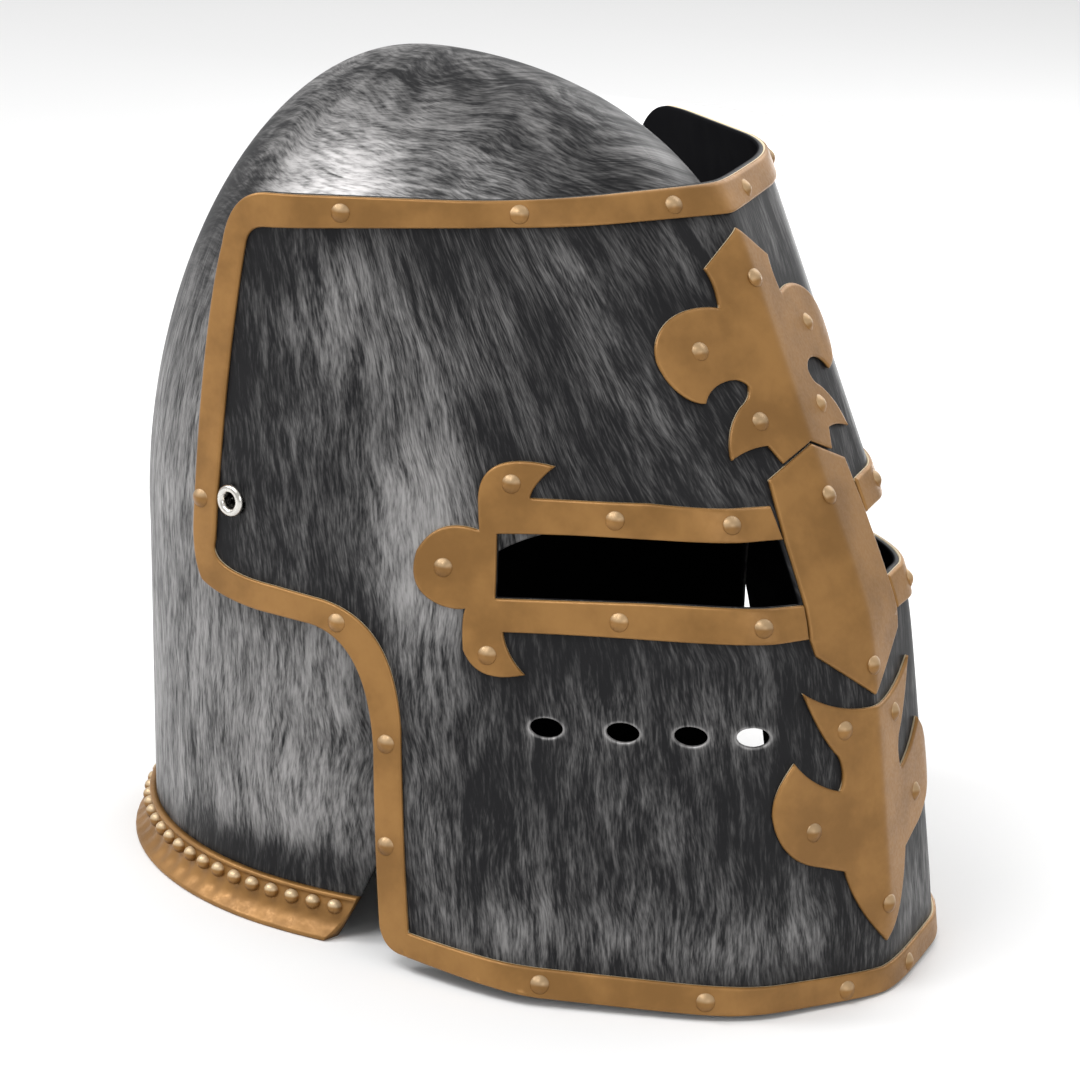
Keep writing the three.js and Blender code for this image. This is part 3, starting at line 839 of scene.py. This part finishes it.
# Offset of each layer of marks, then the width, length and bend of its strokes in metres.
STROKE_LAYERS = [
    (0.0, 0.0044, 0.030, 0.012),
    (1.6, 0.0014, 0.013, 0.010),
    (3.1, 0.0006, 0.0040, 0.008),
]


def strokes(graph, across, along, layer, width, length, bend):
    """Bristle marks: noise drawn out along the stroke, which wavers sideways as it goes."""
    slow = [graph.maths("MULTIPLY", way, 1 / SWAY_LENGTH) for way in (across, along)]
    slow = graph.join(*slow, layer)
    sway = graph.maths("SUBTRACT", graph.noise(slow, 1.0, 1.0).outputs[0], 0.5)
    across = graph.maths("ADD", across, graph.maths("MULTIPLY", sway, bend))
    across = graph.maths("MULTIPLY", across, 1 / width)
    along = graph.maths("MULTIPLY", along, 1 / length)
    return graph.noise(graph.join(across, along, layer), 1.0, 3.0, 0.6).outputs[0]


def brushed_plastic(name, kind):
    """Near-black plastic with silver paint dragged over it by a dry brush."""
    graph = Graph(name)
    chart = graph.add("ShaderNodeAttribute", {"attribute_name": "chart"}).outputs["Vector"]
    amount = graph.add("ShaderNodeAttribute", {"attribute_name": "paint"}).outputs["Fac"]
    lying = graph.add("ShaderNodeAttribute", {"attribute_name": "lying"}).outputs["Fac"]
    s, z, _ = graph.split(chart)
    if kind == "visor":
        # The brush stands upright on the cheeks and leans forward above the eyes.
        size = graph.maths("ABSOLUTE", s)
        rise = graph.maths("MAXIMUM", graph.maths("ADD", z, 0.01), 0.0)
        lean = graph.ranged(size, 0.05, 0.13, -0.22, 0.28)
        away = graph.maths("ADD", size, graph.maths("MULTIPLY", rise, lean))
        s = graph.maths("MULTIPLY", graph.maths("SIGN", s), away)
    x, y, height = graph.split(graph.add("ShaderNodeTexCoord").outputs["Object"])

    layer = 1.7 if kind == "visor" else 5.1
    across = graph.maths("ADD", height, graph.maths("MULTIPLY", x, 0.35))
    marks = []
    for offset, width, length, bend in STROKE_LAYERS:
        upright = strokes(graph, s, z, layer + offset, width, length, bend)
        level = strokes(graph, across, y, layer + offset, width, length, 2 * bend)
        marks.append(graph.blend(lying, upright, level))
    smear, coarse, fine = marks

    patches = graph.noise(graph.join(graph.maths("MULTIPLY", s, 1.6), z, 2.0), 26.0, 3.0, 0.6).outputs[0]
    load = graph.maths("ADD", amount, graph.maths("MULTIPLY", graph.maths("SUBTRACT", patches, 0.5), 0.6))
    mark = graph.maths("ADD", graph.maths("MULTIPLY", coarse, 0.36), graph.maths("MULTIPLY", fine, 0.34))
    mark = graph.maths("ADD", mark, graph.maths("MULTIPLY", smear, 0.30))
    mark = graph.maths("ADD", mark, graph.maths("MULTIPLY", graph.maths("SUBTRACT", load, 0.5), 0.30))
    marked = graph.ranged(mark, 0.35, 0.68)
    silver = graph.maths("MULTIPLY", marked, graph.ranged(load, 0.05, 0.75, 0.22, 1.0))
    silver = graph.maths("MULTIPLY", silver, graph.ranged(amount, 0.0, 0.1))

    tone = graph.noise(graph.join(s, z, 7.0), 60.0, 2.0).outputs[0]
    paint = graph.mix(tone, (0.25, 0.243, 0.24), (0.40, 0.39, 0.385))
    base = graph.mix(tone, (0.006, 0.006, 0.007), (0.012, 0.012, 0.013))
    colour = graph.mix(silver, base, paint)
    metallic = graph.maths("MULTIPLY", silver, 0.55)
    roughness = graph.blend(silver, 0.45, 0.40)
    shine = graph.blend(silver, 0.14, 0.5)
    relief = graph.maths("ADD", graph.maths("MULTIPLY", silver, 0.6), graph.maths("MULTIPLY", coarse, 0.4))
    return graph.finish(
        bump=relief,
        bump_distance=0.0002,
        bump_strength=0.4,
        Base_Color=colour,
        Metallic=metallic,
        Roughness=roughness,
        Specular_IOR_Level=graph.maths("MULTIPLY", shine, graph.ranged(amount, 0.0, 0.1)),
    )


def gold_paint():
    """Antique gold paint, a little uneven and browner where it pools; its edges carry painted highlight
    above and painted shade below.
    """
    graph = Graph("gold_paint")
    place = graph.add("ShaderNodeTexCoord").outputs["Object"]
    cloud = graph.noise(place, 45.0, 4.0, 0.6).outputs[0]
    speck = graph.noise(place, 900.0, 2.0, 0.6).outputs[0]
    drift = graph.ranged(cloud, 0.32, 0.68)
    colour = graph.mix(drift, (0.205, 0.098, 0.022), (0.30, 0.150, 0.040))
    # Painted highlight on the relief's upward-facing edges and painted shade on its downward-facing edges.
    edge = graph.add("ShaderNodeAttribute", {"attribute_name": "edge_light"}).outputs["Fac"]
    facing = graph.split(graph.add("ShaderNodeNewGeometry").outputs["Normal"])[2]
    painted_highlight = graph.maths("MULTIPLY", edge, graph.ranged(facing, 0.08, 0.45))
    colour = graph.mix(painted_highlight, colour, (0.90, 0.76, 0.52))
    painted_shade = graph.maths("MULTIPLY", edge, graph.ranged(facing, -0.1, -0.5))
    colour = graph.mix(painted_shade, colour, (0.10, 0.055, 0.02))
    height = graph.maths("ADD", graph.maths("MULTIPLY", speck, 0.5), cloud)
    return graph.finish(
        bump=height,
        bump_distance=0.00012,
        bump_strength=0.35,
        Base_Color=colour,
        Metallic=0.45,
        Roughness=graph.ranged(speck, 0.3, 0.7, 0.38, 0.50),
    )


def nickel():
    """Bright plated metal with faint wear."""
    graph = Graph("nickel")
    place = graph.add("ShaderNodeTexCoord").outputs["Object"]
    wear = graph.noise(place, 700.0, 3.0, 0.6).outputs[0]
    colour = graph.mix(wear, (0.55, 0.53, 0.49), (0.74, 0.72, 0.68))
    return graph.finish(
        bump=wear,
        bump_distance=0.00005,
        bump_strength=0.3,
        Base_Color=colour,
        Metallic=1.0,
        Roughness=graph.ranged(wear, 0.3, 0.7, 0.16, 0.3),
    )


def paint_on(obj, name, values):
    attribute = obj.data.attributes.new(name, "FLOAT", "POINT")
    attribute.data.foreach_set("value", np.asarray(values, np.float32))


def charted(obj):
    data = np.zeros(len(obj.data.vertices) * 3, np.float32)
    obj.data.attributes["chart"].data.foreach_get("vector", data)
    return data.reshape(-1, 3) / MM


def dabs(s, z, marks):
    """Adds soft-edged oval dabs (s, z, half width, half height, lean, amount)."""
    total = 0 * s
    for at_s, at_z, half_s, half_z, lean, amount in marks:
        up = (z - at_z) / half_z
        across = (s - at_s - lean * (z - at_z)) / half_s
        total += amount * np.exp(-(up**2) - across**2)
    return total


# ---- Assembly ------------------------------------------------------------------------------------


def put(obj, body, slot, material, *nodes):
    obj.data.materials.clear()
    obj.data.materials.append(material)
    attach(obj, body)
    if nodes:
        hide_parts(*nodes)
    return obj


visor_plastic = brushed_plastic("brushed_visor", "visor")
skull_plastic = brushed_plastic("brushed_skull", "skull")
gold = gold_paint()
metal = nickel()

visor = visor_shell()
s, z, level = charted(visor).T
VISOR_DABS = [
    (150, 96, 20, 13, 0, -0.10),
    (186, 45, 12, 42, -0.5, -0.14),
    (128, 84, 18, 22, -0.2, 0.26),
    (98, 70, 12, 16, 0.1, 0.12),
    (126, 20, 14, 34, -0.3, 0.66),
    (97, 52, 8, 8, 0, -0.14),
    (78, -13, 62, 7, 0, -0.10),
    (85, -93, 65, 11, 0, 0.24),
    (140, -50, 8, 45, 0, 0.14),
]
trim_edges = KDTree(sum(map(len, TRIM_LOOPS.values())))
for i, point in enumerate(np.vstack(list(TRIM_LOOPS.values()))):
    trim_edges.insert((*point, 0), i)
trim_edges.balance()
beside = np.array([trim_edges.find((a, b, 0))[2] for a, b in zip(np.abs(s), z)])
to_vents = [((np.abs(s) - at) / VENT_HALF_WIDTH, (z - VENT_Z) / VENT_HALF_HEIGHT) for at in VENTS]
vent_rims = np.min([np.hypot(*offset) for offset in to_vents], 0)
paint = 0.25 + dabs(np.abs(s), z, VISOR_DABS)
# Less silver, so darker, close to the trims: painted shade along the foot of the raised relief.
paint -= 0.12 * np.exp(-beside / 4)
paint += 0.45 * np.exp(-(((vent_rims - 1) / 0.22) ** 2))
paint_on(visor, "paint", np.where(level < -1, 0.0, np.clip(paint, 0.11, 1)))
paint_on(visor, "lying", np.zeros(len(s)))
put(visor, "visor", "brushed_plastic", visor_plastic, "visor_shell")

SKULL_DABS = [
    (145, -84, 45, 8, 0, -0.42),
    (70, -84, 60, 6, 0, -0.15),
    (150, 134, 34, 22, 0, 0.18),
    (65, 120, 50, 40, 0, -0.52),
    (190, 200, 120, 34, 0, -0.22),
    (250, 125, 50, 50, 0, -0.20),
    (50, 40, 50, 40, 0, -0.10),
]
skull = skull_shell()
u, v, level = charted(skull).T
paint = 0.55 + 0.04 * np.cos(u / TURN_RADIUS) + dabs(np.abs(u), v, SKULL_DABS)
paint_on(skull, "paint", np.where(level < -1, 0.0, np.clip(paint, 0.12, 1)))
paint_on(skull, "lying", np.clip((v - 70) / 50, 0, 1))
put(skull, "skull", "brushed_plastic", skull_plastic, "skull_shell")

band = put(neck_band(), "skull", "gold_paint", gold, "neck_band")
beads = put(bead_row(), "skull", "gold_paint", gold)
# Painted highlight on the beads' upper halves and painted shade on their lower halves, through the gold's
# edge mask.
paint_on(beads, "edge_light", np.full(len(beads.data.vertices), 0.4))

trims = {node: trim(node) for node in TRIM_OUTLINES}
other = trims["eye_frame_right"].data.copy()
other.transform(Matrix.Scale(-1, 4, (1, 0, 0)))
other.flip_normals()
trims["eye_frame_left"] = bpy.data.objects.new("eye_frame_left_fine", other)
bpy.context.collection.objects.link(trims["eye_frame_left"])

corners, faces = [], []
for node, piece in trims.items():
    first = len(corners)
    corners += [v.co.copy() for v in piece.data.vertices]
    faces += [tuple(first + i for i in p.vertices) for p in piece.data.polygons]
    # Edge mask for the gold: painted highlight on the trims' upward-facing sides and painted shade on
    # their downward-facing sides.
    paint_on(piece, "edge_light", np.clip((TRIM_TOP - 0.1 - charted(piece)[:, 2]) / 0.5, 0, 1))
    put(piece, "visor", "gold_paint", gold, node)
for node, dome in rivets(BVHTree.FromPolygons(corners, faces)):
    # Painted highlight on the rivets' upper sides and painted shade on their lower sides, through the
    # gold's edge mask.
    paint_on(dome, "edge_light", np.full(len(dome.data.vertices), 0.2))
    put(dome, "visor", "gold_paint", gold, node)
for side in ("right", "left"):
    put(eyelet(side), "skull", "nickel", metal, "pivot_eyelet_" + side)

# ---- Floor, light and camera ---------------------------------------------------------------------


def floor():
    bpy.ops.mesh.primitive_plane_add(size=12)
    plane = bpy.context.object
    plane.name = "floor"
    graph = Graph("pale_floor")
    place = graph.add("ShaderNodeTexCoord").outputs["Object"]
    cloud = graph.noise(place, 3.0, 2.0).outputs[0]
    colour = graph.mix(cloud, (0.80, 0.80, 0.80), (0.83, 0.83, 0.83))
    plane.data.materials.append(graph.finish(Base_Color=colour, Roughness=0.7))


def area_light(name, place, target, size, power):
    data = bpy.data.lights.new(name, "AREA")
    data.shape = "RECTANGLE"
    data.size, data.size_y = size
    data.energy = power
    obj = bpy.data.objects.new(name, data)
    obj.location = place
    obj.rotation_euler = (Vector(target) - Vector(place)).to_track_quat("-Z", "Y").to_euler()
    bpy.context.collection.objects.link(obj)


CAMERA_AZIMUTH, CAMERA_ELEVATION = math.radians(-50.5), math.radians(15)
CAMERA_DISTANCE = 1430.0
SENSOR, FOCAL_LENGTH = 36.0, 157.3


def camera():
    """Looks at the level layout's origin, upright in that layout."""
    a, e = CAMERA_AZIMUTH, CAMERA_ELEVATION
    back = np.array([math.sin(a) * math.cos(e), -math.cos(a) * math.cos(e), math.sin(e)])
    right = np.array([math.cos(a), math.sin(a), 0])
    up = np.cross(back, right)
    axes = Matrix([Vector(leaned(axis)[0]) for axis in (right, up, back)]).transposed()
    data = bpy.data.cameras.new("camera")
    data.sensor_width = SENSOR
    data.lens = FOCAL_LENGTH
    data.clip_end = 20
    obj = bpy.data.objects.new("camera", data)
    obj.matrix_world = Matrix.Translation(Vector(to_world(back * CAMERA_DISTANCE)[0])) @ axes.to_4x4()
    bpy.context.collection.objects.link(obj)
    bpy.context.scene.camera = obj


def world():
    scene_world = bpy.data.worlds.new("studio")
    scene_world.use_nodes = True
    background = scene_world.node_tree.nodes["Background"]
    background.inputs["Color"].default_value = (1, 1, 1, 1)
    background.inputs["Strength"].default_value = 0.72
    bpy.context.scene.world = scene_world


floor()
world()
centre = (CAD_BOX[0] + CAD_BOX[1]) / 2
area_light("key", (-0.9, 0.1, 1.5), centre, (0.7, 0.7), 12)
area_light("fill", (-0.6, -1.8, 0.8), centre, (1.2, 0.8), 7)
area_light("rear_right", (-0.64, 0.9, 1.05), centre, (0.45, 0.45), 9)
area_light("left_wash", (1.0, 0.35, 0.06), (0.05, -0.06, 0.04), (0.6, 0.12), 1.4)
area_light("floor_wash", (0.70, 0.05, 0.55), (0.55, 0.0, 0.0), (0.6, 0.9), 4)
camera()
bpy.context.scene.view_settings.view_transform = "Standard"
